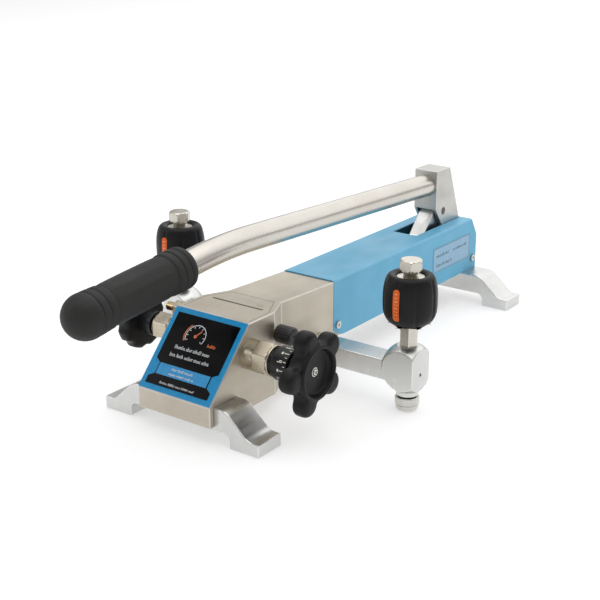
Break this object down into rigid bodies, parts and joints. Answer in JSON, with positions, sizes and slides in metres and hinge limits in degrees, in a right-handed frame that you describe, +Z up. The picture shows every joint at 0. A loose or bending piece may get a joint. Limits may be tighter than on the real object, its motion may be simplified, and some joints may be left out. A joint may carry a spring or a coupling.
{
  "type": "hydraulic hand pump",
  "caption": "Bench hand pump with a long lever, sloping front manifold block, hand-knob valves, two raised test ports on side arms, and a folded cover on two bridge feet.",
  "frame": {"origin": "on the bench, under the middle of the pump's bounding box", "axes": "+X to the right-hand valve, +Y from the grip to the rear foot, +Z up"},
  "size_m": [0.2794, 0.5286, 0.1468],
  "materials": {
    "satin_nickel": "bead-blasted champagne nickel plate",
    "cast_satin": "satin cast aluminium",
    "blue_cover": "powder coated sheet, satin blue",
    "label_blue": "printed film, semi-gloss blue",
    "label_black": "printed film, semi-gloss black",
    "data_blue": "printed foil plate",
    "brushed_tube": "satin nickel plated steel tube",
    "grip_rubber": "moulded rubber, matte black",
    "knob_black": "moulded phenolic, matte black",
    "ring_black": "black anodised ring",
    "insert_orange": "orange-red plastic insert",
    "bright_steel": "turned stainless steel",
    "warm_steel": "nickel plated hexagon, warm tint",
    "dark_steel": "black oxide steel",
    "brass": "turned brass",
    "seal_rubber": "nitrile rubber",
    "inner_steel": "machined steel inside the cover"
  },
  "bodies": {
    "frame": {"base_plate": "inner_steel", "chassis_screws": "dark_steel", "check_balls": "bright_steel", "check_springs": "bright_steel", "cover": "blue_cover", "cover_screws": "bright_steel", "cylinder": "inner_steel", "data_plate": "data_blue", "drain_seals": "seal_rubber", "front_foot": "cast_satin", "fulcrum_arm": "cast_satin", "fulcrum_pin": "dark_steel", "label_panel": "label_black", "label_plate": "label_blue", "left_arm": "cast_satin", "left_end_block": "cast_satin", "left_port_plug": "warm_steel", "left_port_stem": "bright_steel", "left_valve_body": "warm_steel", "left_valve_gland": "dark_steel", "manifold_block": "satin_nickel", "pin_clips": "dark_steel", "port_seals": "seal_rubber", "rear_bracket": "inner_steel", "rear_foot": "cast_satin", "rear_head": "inner_steel", "relief_body": "satin_nickel", "relief_screw": "brass", "right_arm": "cast_satin", "right_end_block": "cast_satin", "right_port_plug": "warm_steel", "right_port_stem": "bright_steel", "right_valve_body": "warm_steel", "right_valve_gland": "dark_steel", "tie_rods": "inner_steel"},
    "lever": {"lever_head": "cast_satin", "handle_tube": "brushed_tube", "grip": "grip_rubber", "tail_pin": "bright_steel"},
    "piston_train": {"piston": "brass", "piston_seals": "seal_rubber", "piston_rod": "bright_steel", "crosshead": "inner_steel"},
    "vent_valve": {"vent_knob": "knob_black", "vent_spindle": "bright_steel"},
    "right_valve": {"right_star_knob": "knob_black", "right_index_ring": "ring_black", "right_valve_spindle": "bright_steel", "right_knob_screw": "bright_steel"},
    "right_sleeve": {"right_port_sleeve": "knob_black", "right_sleeve_window": "insert_orange"},
    "right_cap": {"right_drain_cap": "bright_steel"},
    "left_valve": {"left_round_knob": "knob_black", "left_index_ring": "ring_black", "left_valve_spindle": "bright_steel", "left_knob_screw": "bright_steel"},
    "left_sleeve": {"left_port_sleeve": "knob_black", "left_sleeve_window": "insert_orange"},
    "left_cap": {"left_drain_cap": "bright_steel"}
  },
  "joints": [
    {"name": "lever_swing", "type": "hinge", "parent": "frame", "child": "lever", "pos_m": [0, 0.218, 0.0949], "axis": [-1, 0, 0], "range_deg": [0, 55]},
    {"name": "piston_slide", "type": "slide", "parent": "frame", "child": "piston_train", "axis": [0, -1, 0], "range_m": [0, 0.0448]},
    {"name": "right_valve_turn", "type": "hinge", "parent": "frame", "child": "right_valve", "pos_m": [0.06, -0.1147, 0.0594], "axis": [1, 0, 0], "range_deg": [0, 720]},
    {"name": "left_valve_turn", "type": "hinge", "parent": "frame", "child": "left_valve", "pos_m": [-0.06, -0.1147, 0.063], "axis": [-1, 0, 0], "range_deg": [0, 720]},
    {"name": "vent_turn", "type": "hinge", "parent": "frame", "child": "vent_valve", "pos_m": [0.04, -0.0812, 0.0665], "axis": [1, 0, 0], "range_deg": [0, 540]},
    {"name": "right_sleeve_turn", "type": "hinge", "parent": "frame", "child": "right_sleeve", "pos_m": [0.1182, -0.017, 0.09], "axis": [0, 0, 1], "continuous": true},
    {"name": "right_cap_turn", "type": "hinge", "parent": "frame", "child": "right_cap", "pos_m": [0.1182, -0.017, 0.006], "axis": [0, 0, 1], "continuous": true},
    {"name": "left_sleeve_turn", "type": "hinge", "parent": "frame", "child": "left_sleeve", "pos_m": [-0.1182, -0.017, 0.09], "axis": [0, 0, 1], "continuous": true},
    {"name": "left_cap_turn", "type": "hinge", "parent": "frame", "child": "left_cap", "pos_m": [-0.1182, -0.017, 0.006], "axis": [0, 0, 1], "continuous": true}
  ],
  "couplings": [
    {"joint": "piston_slide", "follows": "lever_swing", "m_per_rad": 0.046462}
  ]
}
